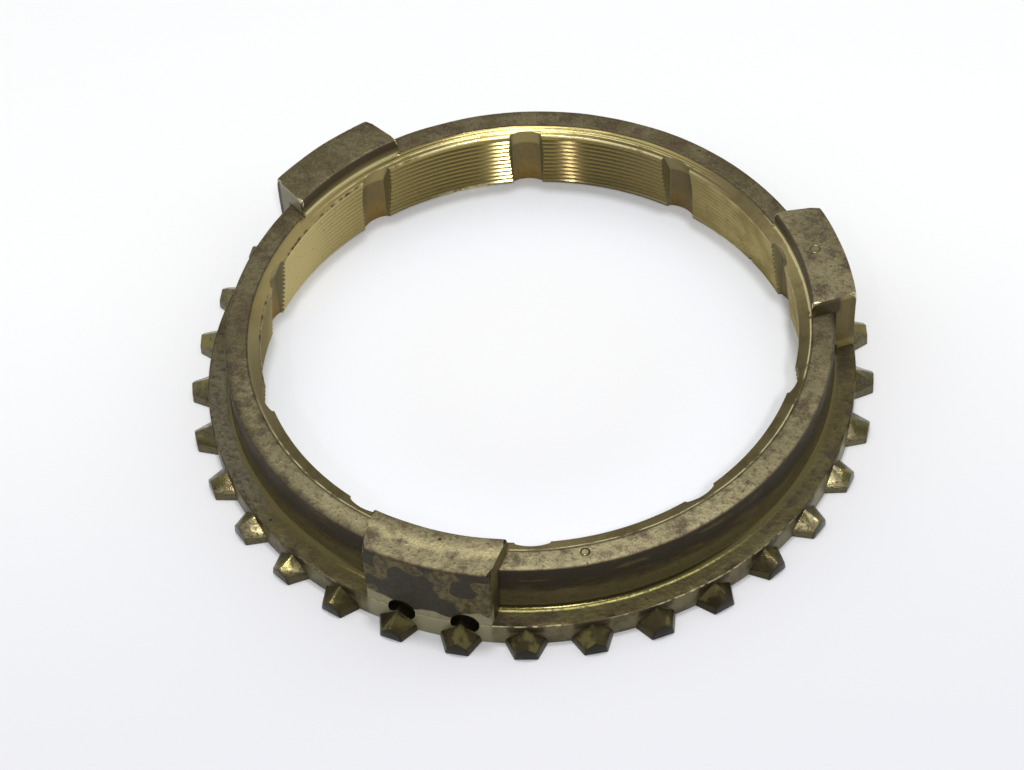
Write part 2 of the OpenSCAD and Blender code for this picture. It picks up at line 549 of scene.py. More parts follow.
def build_ring():
    """The whole ring as one closed mesh in metres."""
    for name in MATERIALS:
        bpy.data.materials.new(name).use_nodes = True
    noise.seed_set(NOISE_SEED)
    piece = ring_body()
    cut(piece, lugs(), "UNION")
    cut(piece, grooves(), "DIFFERENCE")
    cut(piece, pockets(), "DIFFERENCE")
    cut(piece, teeth(), "UNION")
    cut(piece, dents(), "DIFFERENCE")
    piece.data.transform(Matrix.Scale(MM, 4))
    piece.data.shade_smooth()
    piece.data.set_sharp_from_angle(angle=math.radians(SHARP_ANGLE))
    return piece


# The photograph's frame is turned by this angle about the ring's axis from the object's
PHOTO_TURN = 20.5
# Directions in the photograph's frame
FRONT = (0, -1, 0)
BACK = (0, 1, 0)
LEFT = (-1, 0, 0)
RIGHT = (1, 0, 0)
LEFT_FRONT = (-0.83, -0.56, 0)
LEFT_NEARER = (-0.98, -0.2, 0)
LEFT_NEAR = (-0.985, -0.17, 0)
LEFT_FAR = (-0.94, 0.34, 0)
LEFT_BACK = (-0.766, 0.643, 0)
RIGHT_NEAR = (0.94, -0.34, 0)
RIGHT_BACK = (0.74, 0.67, 0)


def photo_frame(vector):
    """A direction or place in the photograph's frame, turned into the object's."""
    return Matrix.Rotation(math.radians(PHOTO_TURN), 3, "Z") @ Vector(vector)


class Shader:
    """Builds the nodes of one material, with lengths in millimetres."""

    def __init__(self, name):
        self.tree = bpy.data.materials[name].node_tree
        self.surface = self.tree.nodes["Principled BSDF"]
        coordinates = self.add("TexCoord").outputs["Object"]
        self.place = self.add("VectorMath", {0: coordinates, "Scale": 1 / MM}, operation="SCALE").outputs[0]
        self.x, self.y, self.z = self.add("SeparateXYZ", {0: self.place}).outputs
        level = self.combine(self.x, self.y, 0)
        self.r = self.length(level)
        self.outward = self.unit(level)
        self.angle = self.math("ARCTAN2", self.y, self.x)
        self.normal = self.add("NewGeometry").outputs["Normal"]
        self.up = self.add("SeparateXYZ", {0: self.normal}).outputs[2]
        self.on_front = self.towards(FRONT, 0.5, 0.9)

    def add(self, kind, inputs=None, **settings):
        node = self.tree.nodes.new("ShaderNode" + kind)
        for key, value in settings.items():
            setattr(node, key, value)
        for key, value in (inputs or {}).items():
            self.put(node.inputs[key], value)
        return node

    def put(self, socket, value):
        if isinstance(value, bpy.types.NodeSocket):
            self.tree.links.new(value, socket)
        else:
            socket.default_value = value

    def math(self, operation, a, b=0.0):
        return self.add("Math", {0: a, 1: b}, operation=operation).outputs[0]

    def plus(self, a, b):
        return self.math("ADD", a, b)

    def minus(self, a, b):
        return self.math("SUBTRACT", a, b)

    def times(self, a, b):
        return self.math("MULTIPLY", a, b)

    def larger(self, a, b):
        return self.math("MAXIMUM", a, b)

    def inverse(self, share):
        return self.minus(1, share)

    def combine(self, x, y, z):
        return self.add("CombineXYZ", {0: x, 1: y, 2: z}).outputs[0]

    def length(self, vector):
        return self.add("VectorMath", {0: vector}, operation="LENGTH").outputs[1]

    def unit(self, vector):
        return self.add("VectorMath", {0: vector}, operation="NORMALIZE").outputs[0]

    def along(self, vector, direction):
        """Part of a vector along a direction in the photograph's frame."""
        inputs = {0: vector, 1: photo_frame(direction)}
        return self.add("VectorMath", inputs, operation="DOT_PRODUCT").outputs[1]

    def facing(self, direction):
        """Cosine of the angle around the axis between this place and a direction."""
        return self.along(self.outward, direction)

    def towards(self, direction, low, high):
        """0 where facing gives low and 1 where it gives high."""
        return self.step(self.facing(direction), low, high)

    def sideways(self):
        """0 in front and behind, 1 on the left and the right."""
        return self.math("ABSOLUTE", self.facing(RIGHT))

    def step(self, value, low, high):
        """0 at low and 1 at high, smooth between them; low may be the larger."""
        inputs = {"Value": value, "From Min": low, "From Max": high}
        return self.add("MapRange", inputs, interpolation_type="SMOOTHSTEP").outputs[0]

    def band(self, value, centre, half_width):
        """1 at the centre and 0 from half_width on."""
        return self.step(self.math("ABSOLUTE", self.minus(value, centre)), half_width, 0.0)

    def near_circle(self, radius, z, reach):
        """1 on a circle about the axis and 0 from reach on."""
        away = self.combine(self.minus(self.r, radius), self.minus(self.z, z), 0)
        return self.step(self.length(away), reach, 0.0)

    def share_from(self, count, first):
        """Turn from the first of that many equal places around the axis, in places."""
        return self.times(self.minus(self.angle, math.radians(first)), count / math.tau)

    def off_place(self, count, first):
        """Turn to the nearest of that many equal places around the axis, in places."""
        turn = self.share_from(count, first)
        return self.math("ABSOLUTE", self.minus(turn, self.math("ROUND", turn)))

    def around(self, lengthwise, across):
        """Coordinates for marks that run around the ring's axis, with scales along and across them."""
        return self.combine(
            self.times(self.angle, lengthwise * FLANGE_R),
            self.times(self.r, across),
            self.times(self.z, across),
        )

    def noise(self, scale, detail, roughness, vector=None, offset=0):
        moved = self.add("VectorMath", {0: vector or self.place, 1: (offset, offset, offset)}).outputs[0]
        inputs = {"Vector": moved, "Scale": scale, "Detail": detail, "Roughness": roughness}
        return self.add("TexNoise", inputs).outputs[0]

    def streaks(self):
        return self.noise(1, 4, 0.6, vector=self.around(0.12, 0.7), offset=20)

    def mottles(self):
        return self.noise(1.5, 5, 0.65, offset=70)

    def blend(self, share, a, b):
        return self.add("Mix", {0: share, 2: a, 3: b}).outputs[0]

    def mix(self, share, a, b):
        """Colour a, with that share of colour b."""
        node = self.add("Mix", {0: share}, data_type="RGBA")
        for socket, value in ((node.inputs[6], a), (node.inputs[7], b)):
            self.put(socket, value if isinstance(value, bpy.types.NodeSocket) else (*value, 1))
        return node.outputs[2]

    def stain(self, base, mark, low, high, share, colour):
        """The base colour, with up to that share of another where a mark goes from low to high."""
        return self.mix(self.times(self.step(mark, low, high), share), base, colour)

    def flange_edge(self):
        """The flange's top edge, and the places on it in front where the patina is rubbed off."""
        edge = self.near_circle(FLANGE_R, FLANGE_H, 0.2)
        rubbed = self.times(self.step(self.streaks(), 0.46, 0.58), self.step(self.mottles(), 0.4, 0.6))
        return edge, self.times(self.times(edge, rubbed), self.on_front)

    def bump(self, height, distance, strength=1.0):
        inputs = {"Height": height, "Distance": distance * MM, "Strength": strength}
        self.put(self.surface.inputs["Normal"], self.add("Bump", inputs).outputs[0])

    def turned_gloss(self, anisotropy):
        """Stretches highlights across the marks of turning."""
        self.surface.inputs["Anisotropic"].default_value = anisotropy
        self.surface.inputs["Anisotropic Rotation"].default_value = 0.25
        tangent = self.add("Tangent", direction_type="RADIAL", axis="Z")
        self.put(self.surface.inputs["Tangent"], tangent.outputs[0])

    def finish(self, colour, roughness, metallic, specular=0.5):
        self.put(self.surface.inputs["Base Color"], colour)
        self.put(self.surface.inputs["Roughness"], roughness)
        self.put(self.surface.inputs["Metallic"], metallic)
        self.surface.inputs["Specular IOR Level"].default_value = specular


# Colours of several faces
KHAKI = (0.135, 0.113, 0.057)
PALE_KHAKI = (0.375, 0.328, 0.185)
PURPLE_BROWN = (0.095, 0.066, 0.05)
RUST_BROWN = (0.11, 0.07, 0.035)
DARK_BROWN = (0.045, 0.034, 0.019)
BLACK_BROWN = (0.031, 0.023, 0.012)
OLIVE_BROWN = (0.105, 0.085, 0.034)
OLIVE_GOLD = (0.2, 0.17, 0.06)
BEIGE = (0.27, 0.244, 0.143)
# Worn brass, also laid as painted highlights and glints
WORN_AND_HIGHLIGHT_BRASS = (0.62, 0.53, 0.28)
# White gold, laid only as painted highlights
HIGHLIGHT_WHITE_GOLD = (0.8, 0.7, 0.39)

# Colours of the top faces, the flange's top, the wall and the fillet
MARGIN_SHADE_BROWN = (0.05, 0.042, 0.022)
EDGE_BROWN = (0.055, 0.036, 0.02)
FLANGE_OLIVE = (0.13, 0.112, 0.05)
FLANGE_PURPLE = (0.066, 0.048, 0.036)
FLANGE_GREY = (0.2, 0.19, 0.145)
WALL_OLIVE = (0.108, 0.086, 0.035)
WALL_BROWN = (0.11, 0.08, 0.024)
FILLET_OLIVE = (0.115, 0.095, 0.036)
FILLET_HIGHLIGHT_GOLD = (0.62, 0.57, 0.19)

# Colours of the lugs
LUG_BROWN = (0.055, 0.042, 0.02)
LUG_OLIVE = (0.14, 0.113, 0.043)
LUG_GREY = (0.029, 0.025, 0.017)
LUG_TAN = (0.2, 0.155, 0.08)
LUG_REFLECTION_GOLD = (0.3, 0.245, 0.095)
LUG_INNER_BROWN = (0.06, 0.042, 0.02)
LUG_END_OLIVE = (0.1, 0.08, 0.03)
LUG_END_REFLECTION_GOLD = (0.32, 0.25, 0.092)
LUG_END_LIT_BEIGE = (0.3, 0.27, 0.165)
LUG_EDGE_BRASS = (0.5, 0.44, 0.27)
LUG_EDGE_BROWN = (0.045, 0.036, 0.019)

# Colours of the turned faces, the teeth and the pockets
TURNED_BEIGE = (0.16, 0.138, 0.07)
TURNED_OLIVE = (0.085, 0.068, 0.032)
TURNED_ROOT_SHADE = (0.045, 0.031, 0.015)
TOOTH_BROWN = (0.045, 0.036, 0.017)
TOOTH_OLIVE = (0.065, 0.053, 0.023)
SIDE_TOOTH_LIT_OLIVE = (0.115, 0.1, 0.055)
SIDE_TOOTH_LIT_BEIGE = (0.19, 0.168, 0.1)
TOOTH_TIP_BLACK = (0.028, 0.026, 0.018)
POCKET_SHADE_BROWN = (0.035, 0.028, 0.013)

# Colours of the bore, its lead-in and the oil grooves
BORE_PALE = (0.49, 0.405, 0.178)
BORE_STAINED = (0.31, 0.245, 0.09)
BORE_LIT_BRASS = (0.66, 0.555, 0.255)
BORE_SHADED_BRASS = (0.29, 0.235, 0.095)
BORE_FAR_SHADE = (0.27, 0.205, 0.056)
BORE_LIT_FLANK = (0.4, 0.325, 0.135)
LEAD_BRASS = (0.35, 0.285, 0.128)
LEAD_BROWN = (0.2, 0.15, 0.07)
LEAD_SHADED_BRASS = (0.345, 0.268, 0.107)
LEAD_LIT_BRASS = (0.5, 0.42, 0.225)
LEAD_SHADE_DARK = (0.11, 0.083, 0.04)
LEAD_LINE_BROWN = (0.15, 0.118, 0.042)
LEAD_LINE_BRASS = (0.55, 0.46, 0.18)
LEAD_DASH_BROWN = (0.035, 0.022, 0.006)
GROOVE_BROWN = (0.27, 0.175, 0.042)
GROOVE_OLIVE = (0.19, 0.135, 0.042)
GROOVE_END_GOLD = (0.34, 0.27, 0.085)
GROOVE_SIDE_OLIVE = (0.18, 0.142, 0.052)


class Patina(Shader):
    """The material of the forged faces, with the marks that its colours share."""

    def __init__(self):
        super().__init__("forged")
        self.cloud = self.noise(0.16, 3, 0.5)
        self.blot = self.noise(0.45, 5, 0.6, offset=40)
        self.mottle = self.mottles()
        self.grain = self.noise(3.6, 5, 0.75, offset=90)
        self.streak = self.streaks()
        self.blob = self.noise(0.3, 1.2, 0.4, offset=57)
        self.on_lug_top = self.step(self.z, LUG_TOP_Z - 0.8, LUG_TOP_Z - 0.4)

    def rub_and_highlight(self):
        """A ragged band along the front lug's top, where the patina is rubbed and a painted highlight lies.
        """
        ragged_r = self.plus(self.r, self.times(self.minus(self.blot, 0.5), 4))
        return self.times(self.band(ragged_r, WALL_R - 0.5, 1.1), self.times(self.on_lug_top, self.on_front))

    def top(self, rub_and_highlight):
        """Colour of the top faces, paler in front and lighter on the right lug's top as painted light, with
        painted shade along the left front margin.
        """
        # Paler towards the front, and on the lug tops lighter to the right and darker in front: painted light
        # and shade.
        painted_lug_top_light = self.minus(self.times(self.facing(RIGHT), 0.3), self.times(self.on_front, 0.25))
        pale = self.plus(self.towards(FRONT, -0.3, 1), self.times(painted_lug_top_light, self.on_lug_top))
        share = self.plus(self.times(pale, 0.75), self.times(self.step(self.cloud, 0.38, 0.62), 0.3))
        colour = self.mix(share, KHAKI, PALE_KHAKI)
        colour = self.stain(colour, self.blot, 0.46, 0.66, 0.8, PURPLE_BROWN)
        colour = self.stain(colour, self.mottle, 0.48, 0.66, 0.65, RUST_BROWN)
        colour = self.stain(colour, self.grain, 0.5, 0.64, self.blend(pale, 0.3, 0.6), PALE_KHAKI)
        colour = self.stain(colour, self.grain, 0.46, 0.34, 0.45, DARK_BROWN)
        colour = self.mix(self.times(self.band(self.r, LEAD_R + 0.15, 0.2), 0.7), colour, DARK_BROWN)
        # A darker band along the outer margin of the tops on the left front: painted shade.
        painted_margin_shade = self.times(self.step(self.r, WALL_R - 1.1, WALL_R - 0.3), self.inverse(self.on_lug_top))
        painted_margin_shade = self.times(painted_margin_shade, self.towards(LEFT_FRONT, 0.8, 0.95))
        colour = self.mix(self.times(painted_margin_shade, 0.6), colour, MARGIN_SHADE_BROWN)
        # Rubbed brass on the front lug's top, partly a painted highlight.
        return self.mix(self.times(rub_and_highlight, self.blend(self.grain, 0.2, 0.9)), colour, WORN_AND_HIGHLIGHT_BRASS)

    def flange(self):
        """Colour of the flange's top, greyed on the left."""
        colour = self.mix(self.step(self.streak, 0.4, 0.6), OLIVE_BROWN, FLANGE_OLIVE)
        colour = self.stain(colour, self.blot, 0.45, 0.65, 0.75, FLANGE_PURPLE)
        colour = self.stain(colour, self.mottle, 0.5, 0.7, 0.5, DARK_BROWN)
        colour = self.stain(colour, self.grain, 0.5, 0.66, 0.35, KHAKI)
        greyed = self.times(self.towards(LEFT_NEARER, 0.9, 0.98), self.step(self.mottle, 0.66, 0.4))
        return self.mix(self.times(greyed, 0.55), colour, FLANGE_GREY)

    def wall(self):
        """Colour of the ring's wall, darker towards its top."""
        height = self.plus(self.z, self.times(self.minus(self.streak, 0.5), 6))
        colour = self.mix(self.step(height, FLANGE_H + 1.7, FLANGE_H + 4.1), WALL_OLIVE, BLACK_BROWN)
        colour = self.stain(colour, self.streak, 0.54, 0.68, 0.7, WALL_BROWN)
        return self.stain(colour, self.mottle, 0.5, 0.7, 0.5, BLACK_BROWN)

    def lug(self):
        """Colour of the lugs' outer walls, with their ends and inner faces, and golden on the right as a
        painted reflection.
        """
        colour = self.mix(self.step(self.mottle, 0.38, 0.66), LUG_BROWN, LUG_OLIVE)
        colour = self.stain(colour, self.blob, 0.47, 0.52, 0.85, LUG_GREY)
        vein = self.times(self.band(self.blob, 0.485, 0.014), self.step(self.blot, 0.46, 0.6))
        colour = self.mix(self.times(vein, 0.5), colour, LUG_TAN)
        height = self.plus(self.z, self.times(self.minus(self.blob, 0.5), 6))
        foot = self.stain(BEIGE, self.mottle, 0.5, 0.7, 0.4, OLIVE_BROWN)
        colour = self.mix(self.step(height, FLANGE_H + 1.8, FLANGE_H + 1.4), colour, foot)
        # Golden on the right lug: a painted reflection.
        colour = self.mix(self.times(self.towards(RIGHT, 0.5, 0.8), 0.8), colour, LUG_REFLECTION_GOLD)
        colour = self.mix(self.step(self.r, LUG_FOOT_R - 0.6, LUG_FOOT_R - 0.9), colour, self.lug_end())
        inner = self.mix(self.step(self.z, LUG_TOP_Z - 0.95, LUG_TOP_Z - 1.95), LUG_INNER_BROWN, OLIVE_GOLD)
        return self.mix(self.step(self.r, LUG_INNER_R + 0.7, LUG_INNER_R + 0.2), colour, inner)

    def lug_end(self):
        """Colour of the lugs' ends, dark on the front lug and lighter on the others and low down, as painted
        light and a painted reflection.
        """
        height = self.plus(self.z, self.times(self.blot, 5))
        colour = self.mix(self.step(height, 9.5, 13.5), DARK_BROWN, LUG_END_OLIVE)
        # Lighter on the lugs away from the front, low down and at the outer part: painted light and a painted
        # reflection.
        left = self.towards(LEFT, 0.3, 0.5)
        low = self.step(self.z, RING_H + 0.35, RING_H - 0.65)
        light = self.larger(low, self.larger(left, self.step(self.r, WALL_R + 0.5, WALL_R + 1.1)))
        light = self.times(light, self.step(self.on_front, 0.3, 0))
        return self.mix(light, colour, self.mix(left, LUG_END_REFLECTION_GOLD, LUG_END_LIT_BEIGE))


def forged_material():
    """Patina over brass on the top faces, the lugs, the wall, the fillet and the flange's top."""
    s = Patina()
    rub_and_highlight = s.rub_and_highlight()
    on_lug = s.larger(s.step(s.r, WALL_R + 0.2, WALL_R + 0.5), s.step(s.z, RING_H - 0.05, RING_H + 0.15))
    upright = s.mix(on_lug, s.wall(), s.lug())
    flat = s.step(s.up, 0.3, 0.85)
    low = s.step(s.z, FLANGE_H + 1.7, FLANGE_H + 0.9)
    colour = s.mix(flat, upright, s.mix(low, s.top(rub_and_highlight), s.flange()))
    wall_edge = s.near_circle(WALL_R - 0.1, RING_H - 0.1, 0.3)
    lug_edge = s.times(s.near_circle(LUG_TOP_R - 0.1, LUG_TOP_Z - 0.1, 0.45), s.on_front)
    colour = s.mix(s.times(s.larger(wall_edge, lug_edge), 0.6), colour, EDGE_BROWN)
    # Darker walls and tops on the left and right: painted shade.
    aside = s.times(s.step(s.sideways(), 0.6, 0.95), s.inverse(s.larger(s.on_lug_top, low)))
    colour = s.mix(s.times(aside, s.blend(flat, 0.5, 0.22)), colour, BLACK_BROWN)
    fillet = s.near_circle(WALL_R + 0.3, FLANGE_H + 0.3, 0.75)
    colour = s.mix(fillet, colour, FILLET_OLIVE)
    # A bright gold line along the fillet in front, where the overhead lamp's reflection falls: painted
    # highlight.
    painted_fillet_highlight = s.times(s.near_circle(WALL_R + 0.72, FLANGE_H + 0.04, 0.2), s.step(s.mottle, 0.7, 0.45))
    colour = s.mix(s.times(painted_fillet_highlight, s.towards(FRONT, 0.75, 0.97)), colour, FILLET_HIGHLIGHT_GOLD)
    edge, worn = s.flange_edge()
    colour = s.mix(s.times(edge, 0.6), colour, DARK_BROWN)
    colour = s.mix(worn, colour, WORN_AND_HIGHLIGHT_BRASS)
    # A white-gold line on the fillet at the lugs' inner foot: painted highlight, with a smoother finish
    # there.
    on_lug_width = s.step(s.off_place(LUG_COUNT, LUG_AZIMUTH), 0.114, 0.108)
    lug_foot_highlight = s.times(s.near_circle(LUG_INNER_R - 0.1, RING_H + 0.15, 0.4), on_lug_width)
    colour = s.mix(lug_foot_highlight, colour, HIGHLIGHT_WHITE_GOLD)

    smooth = s.larger(fillet, lug_foot_highlight)
    s.bump(s.plus(s.plus(s.blot, s.mottle), s.times(s.grain, 0.5)), 0.08, s.blend(smooth, 1, 0.1))
    gloss = s.larger(fillet, s.larger(worn, s.times(rub_and_highlight, 0.2)))
    metallic = s.blend(lug_foot_highlight, s.blend(gloss, s.blend(flat, 0.05, 0.55), 0.95), 0.25)
    s.finish(colour, s.blend(gloss, s.blend(s.mottle, 0.26, 0.48), 0.15), metallic, specular=0.1)


def turned_material():
    """Turned flange wall and gear-side face, dulled to beige, with painted shade beside the teeth."""
    s = Shader("turned")
    rings = s.noise(1, 3, 0.6, vector=s.around(0.1, 6))
    blot = s.noise(0.5, 5, 0.6)
    colour = s.mix(s.step(blot, 0.4, 0.68), TURNED_BEIGE, TURNED_OLIVE)
    colour = s.mix(s.times(s.towards(RIGHT_NEAR, 0.9, 0.98), 0.6), colour, BEIGE)
    edge, worn = s.flange_edge()
    colour = s.mix(s.times(edge, 0.6), colour, DARK_BROWN)
    # Darker on the flange wall beside each tooth, up to the flange's edge: painted shade.
    at_tooth = s.step(s.off_place(TOOTH_COUNT, LUG_AZIMUTH + tooth_turn(0)), 0.31, 0.25)
    beside_tooth_shade = s.times(at_tooth, s.step(s.plus(s.z, blot), 2.4, 3))
    colour = s.mix(s.times(beside_tooth_shade, 0.85), colour, TURNED_ROOT_SHADE)
    colour = s.mix(s.step(s.off_place(LUG_COUNT, LUG_AZIMUTH), 0.095, 0.085), colour, BEIGE)
    s.bump(rings, 0.012)
    colour = s.mix(worn, colour, WORN_AND_HIGHLIGHT_BRASS)
    s.finish(colour, s.blend(worn, 0.42, 0.2), s.blend(worn, 0.6, 0.95), specular=0.2)


def teeth_material():
    """Dark smooth patina of the teeth and pockets, different on each tooth, lighter at the sides as painted
    light, with painted glints and painted shade in the pockets.
    """
    s = Shader("teeth")
    gap = s.math("FLOOR", s.share_from(TOOTH_COUNT, LUG_AZIMUTH - 360))
    tooth = s.math("FLOORED_MODULO", gap, TOOTH_COUNT)
    draw = s.add("TexWhiteNoise", {"W": tooth}, noise_dimensions="1D").outputs[0]
    patch = s.noise(0.5, 3, 0.5)
    fine = s.noise(3, 4, 0.65, offset=30)
    sideways = s.sideways()
    # Teeth on the left and right are lighter: painted light.
    aside = s.step(sideways, 0.5, 0.95)
    dark = s.mix(aside, TOOTH_BROWN, SIDE_TOOTH_LIT_OLIVE)
    light = s.mix(aside, TOOTH_OLIVE, SIDE_TOOTH_LIT_BEIGE)
    colour = s.stain(s.mix(draw, dark, light), fine, 0.45, 0.66, 0.6, DARK_BROWN)
    # Olive-gold patches on the chamfers, stronger on the side teeth: worn brass, partly painted glints.
    worn = s.times(s.step(patch, 0.47, 0.6), s.step(s.up, 0.4, 0.6))
    colour = s.mix(s.times(worn, s.blend(aside, 0.45, 0.75)), colour, OLIVE_GOLD)
    # Bright brass on the front-facing chamfers of the side teeth: painted glints.
    side = s.times(s.step(sideways, 0.7, 0.77), s.step(sideways, 0.96, 0.91))
    side = s.times(side, s.towards(FRONT, 0.15, 0.35))
    to_front = s.step(s.along(s.normal, FRONT), 0.25, 0.45)
    off_ridge = s.step(s.off_place(TOOTH_COUNT, LUG_AZIMUTH + tooth_turn(0)), 0.05, 0.2)
    rubbed = s.times(s.times(to_front, side), s.times(s.step(fine, 0.66, 0.46), off_ridge))
    colour = s.mix(s.times(rubbed, s.step(s.up, 0.3, 0.5)), colour, WORN_AND_HIGHLIGHT_BRASS)
    tip = s.times(s.step(s.r, TIP_R - 0.35, TIP_R - 0.1), s.step(s.up, 0.5, 0.2))
    colour = s.mix(s.times(tip, s.blend(aside, 1, 0.3)), colour, TOOTH_TIP_BLACK)
    # Dark inside the pockets, on their walls and the parts of the teeth within them: painted shade.
    pocket_top = POCKET_Z + POCKET_D / 2
    below_top = s.step(s.z, pocket_top + 0.55, pocket_top + 0.15)
    pocket_shade = s.times(s.step(s.r, FLANGE_R + 0.05, FLANGE_R - 0.2), below_top)
    colour = s.mix(pocket_shade, colour, POCKET_SHADE_BROWN)
    s.bump(s.plus(patch, s.times(fine, 0.3)), 0.05)
    s.finish(colour, s.blend(worn, 0.32, 0.19), 0.75, specular=0.12)


def bore_material():
    """Threaded friction cone of aged brass, darker on the far side as painted shade, with further painted
    light, shade and highlights, and with an even shading elsewhere.
    """
    s = Shader("bore")
    cloud = s.noise(0.22, 4, 0.6)
    specks = s.noise(2.2, 2, 0.5, offset=11)
    far = s.towards(BACK, 0.55, 0.9)
    colour = s.mix(s.step(cloud, 0.35, 0.7), BORE_PALE, BORE_STAINED)
    # Lighter towards the left back, duller on the left and darker on the far side: painted light and shade.
    colour = s.mix(s.towards(LEFT_BACK, 0.85, 0.98), colour, BORE_LIT_BRASS)
    colour = s.mix(s.towards(LEFT, 0.93, 0.99), colour, BORE_SHADED_BRASS)
    colour = s.mix(far, colour, BORE_FAR_SHADE)
    colour = s.stain(colour, specks, 0.66, 0.74, 0.6, DARK_BROWN)
    # Brighter flanks on the far side, brightest near the bottom: painted reflection that lifts the highlights
    # there.
    flank = s.times(s.step(s.up, 0.2, 0.5), far)
    colour = s.mix(flank, colour, s.mix(s.step(s.z, 0.8, 0.4), BORE_LIT_FLANK, WORN_AND_HIGHLIGHT_BRASS))
    # Dark thread roots on the far side only: painted shade.
    pitches = s.minus(s.times(s.z, 1 / THREAD_PITCH), s.times(s.angle, 1 / math.tau))
    root = s.band(s.math("FRACT", pitches), THREAD_STOPS[2], 0.16)
    colour = s.mix(s.times(s.times(root, far), 0.9), colour, DARK_BROWN)
    to_right = s.facing(RIGHT)
    # Darker towards the right of the far side: painted shade.
    colour = s.mix(s.times(s.times(s.step(to_right, 0.05, 0.4), far), 0.3), colour, DARK_BROWN)
    # A bright broken line at the bottom edge of the far side: painted highlight.
    rim_highlight = s.times(s.step(s.z, 0.9, 0.4), s.step(specks, 0.38, 0.46))
    rim_highlight = s.times(rim_highlight, s.times(s.band(to_right, -0.18, 0.2), far))
    colour = s.mix(rim_highlight, colour, HIGHLIGHT_WHITE_GOLD)
    inward = s.combine(s.times(s.x, -1), s.times(s.y, -1), s.times(s.r, -tan(CONE_ANGLE)))
    even = {0: s.times(s.inverse(far), 0.9), 4: s.normal, 5: s.unit(inward)}
    normal = s.unit(s.add("Mix", even, data_type="VECTOR").outputs[1])
    s.put(s.surface.inputs["Normal"], normal)
    s.turned_gloss(0.97)
    s.finish(colour, s.blend(far, 0.5, 0.21), s.blend(rim_highlight, 0.95, 0.2))


def lead_material():
    """Turned lead-in with concentric lines on the far side, painted light and shade on its sides, bright edge
    lines as painted highlights, and dark dashes on the left.
    """
    s = Shader("lead")
    lines = s.noise(1, 3, 0.65, vector=s.around(0.012, 4), offset=5)
    cloud = s.noise(0.35, 5, 0.65)
    far = s.towards(BACK, 0.55, 0.95)
    plain = s.stain(LEAD_BRASS, cloud, 0.42, 0.66, 0.6, LEAD_BROWN)
    # Duller on the left far side, lighter on the left near side and dark on the right back: painted light and
    # shade.
    left_far = s.towards(LEFT_FAR, 0.6, 0.9)
    plain = s.mix(s.times(left_far, 0.7), plain, LEAD_SHADED_BRASS)
    left_near = s.towards(LEFT_NEAR, 0.955, 0.99)
    plain = s.mix(s.times(left_near, 0.6), plain, LEAD_LIT_BRASS)
    right_back = s.towards(RIGHT_BACK, 0.9, 0.985)
    plain = s.mix(s.times(right_back, 0.7), plain, LEAD_SHADE_DARK)
    lined = s.mix(s.step(lines, 0.42, 0.58), LEAD_LINE_BROWN, LEAD_LINE_BRASS)
    colour = s.mix(far, plain, lined)
    # White-gold lines at the outer edge away from the far side, and at two radii on the far side: painted
    # highlights.
    elsewhere = s.inverse(s.larger(far, s.larger(left_far, right_back)))
    outer_edge = s.times(s.band(s.r, LEAD_R - 0.05, 0.2), elsewhere)
    far_lines = s.larger(s.band(s.r, BORE_R + 0.68, 0.13), s.band(s.r, BORE_R + 0.1, 0.2))
    bright_highlight_lines = s.times(s.larger(outer_edge, s.times(far_lines, far)), s.step(cloud, 0.62, 0.46))
    colour = s.mix(bright_highlight_lines, colour, HIGHLIGHT_WHITE_GOLD)
    dashes = s.step(s.noise(1, 4, 0.7, vector=s.around(0.8, 0.6), offset=8), 0.38, 0.62)
    dashes = s.times(s.times(dashes, s.band(s.r, BORE_R + 0.1, 0.26)), s.larger(left_far, left_near))
    colour = s.mix(dashes, colour, LEAD_DASH_BROWN)
    s.bump(lines, 0.05, s.blend(far, 0.3, 1))
    s.turned_gloss(0.93)
    metallic = s.blend(dashes, s.blend(bright_highlight_lines, 0.92, 0.4), 0.4)
    s.finish(colour, s.blend(bright_highlight_lines, 0.24, 0.2), metallic, specular=0.1)


def groove_material():
    """Brown floor of the oil grooves, with olive sides, a golden run-out, and painted shade on the right."""
    s = Shader("groove")
    cloud = s.noise(0.3, 4, 0.6, offset=15)
    fine = s.noise(2.5, 4, 0.6)
    colour = s.mix(s.step(s.plus(s.z, s.times(cloud, 3)), 3, 5.5), GROOVE_BROWN, GROOVE_OLIVE)
    colour = s.stain(colour, fine, 0.5, 0.7, 0.4, DARK_BROWN)
    run_out = s.step(s.z, GROOVE_STRAIGHT_H - 0.1, GROOVE_STRAIGHT_H + 0.3)
    colour = s.mix(run_out, colour, GROOVE_END_GOLD)
    # Darker on the right: painted shade.
    colour = s.mix(s.times(s.towards(RIGHT, 0.3, 0.6), 0.35), colour, DARK_BROWN)
    off_centre = s.times(s.times(s.off_place(GROOVE_COUNT, 0), math.tau / GROOVE_COUNT), s.r)
    side = s.step(off_centre, GROOVE_W / 2 - 0.2, GROOVE_W / 2)
    colour = s.mix(side, colour, GROOVE_SIDE_OLIVE)
    s.bump(fine, 0.02)
    s.finish(colour, 0.4, s.blend(side, 0.6, 0.2))


def worn_material():
    """Edges of the lugs' ends, with the patina rubbed off in places, and dark on the front lug."""
    s = Shader("worn")
    patch = s.noise(1.1, 4, 0.6, offset=33)
    colour = s.mix(s.step(patch, 0.28, 0.46), DARK_BROWN, LUG_EDGE_BRASS)
    colour = s.mix(s.on_front, colour, LUG_EDGE_BROWN)
    s.finish(colour, s.blend(patch, 0.2, 0.3), 0.9)


# Camera fitted to the photograph, with its distance and offset in radii of the flange
IMAGE_W = 1024
FOCAL_PX = 2533
SENSOR_W = 36
CAMERA_DISTANCE = 7.905
CAMERA_OFFSET = (0.06135, 0.02437)
CAMERA_ELEVATION = 49.92
CAMERA_ROLL = -3.966
CLIP_START = 0.01

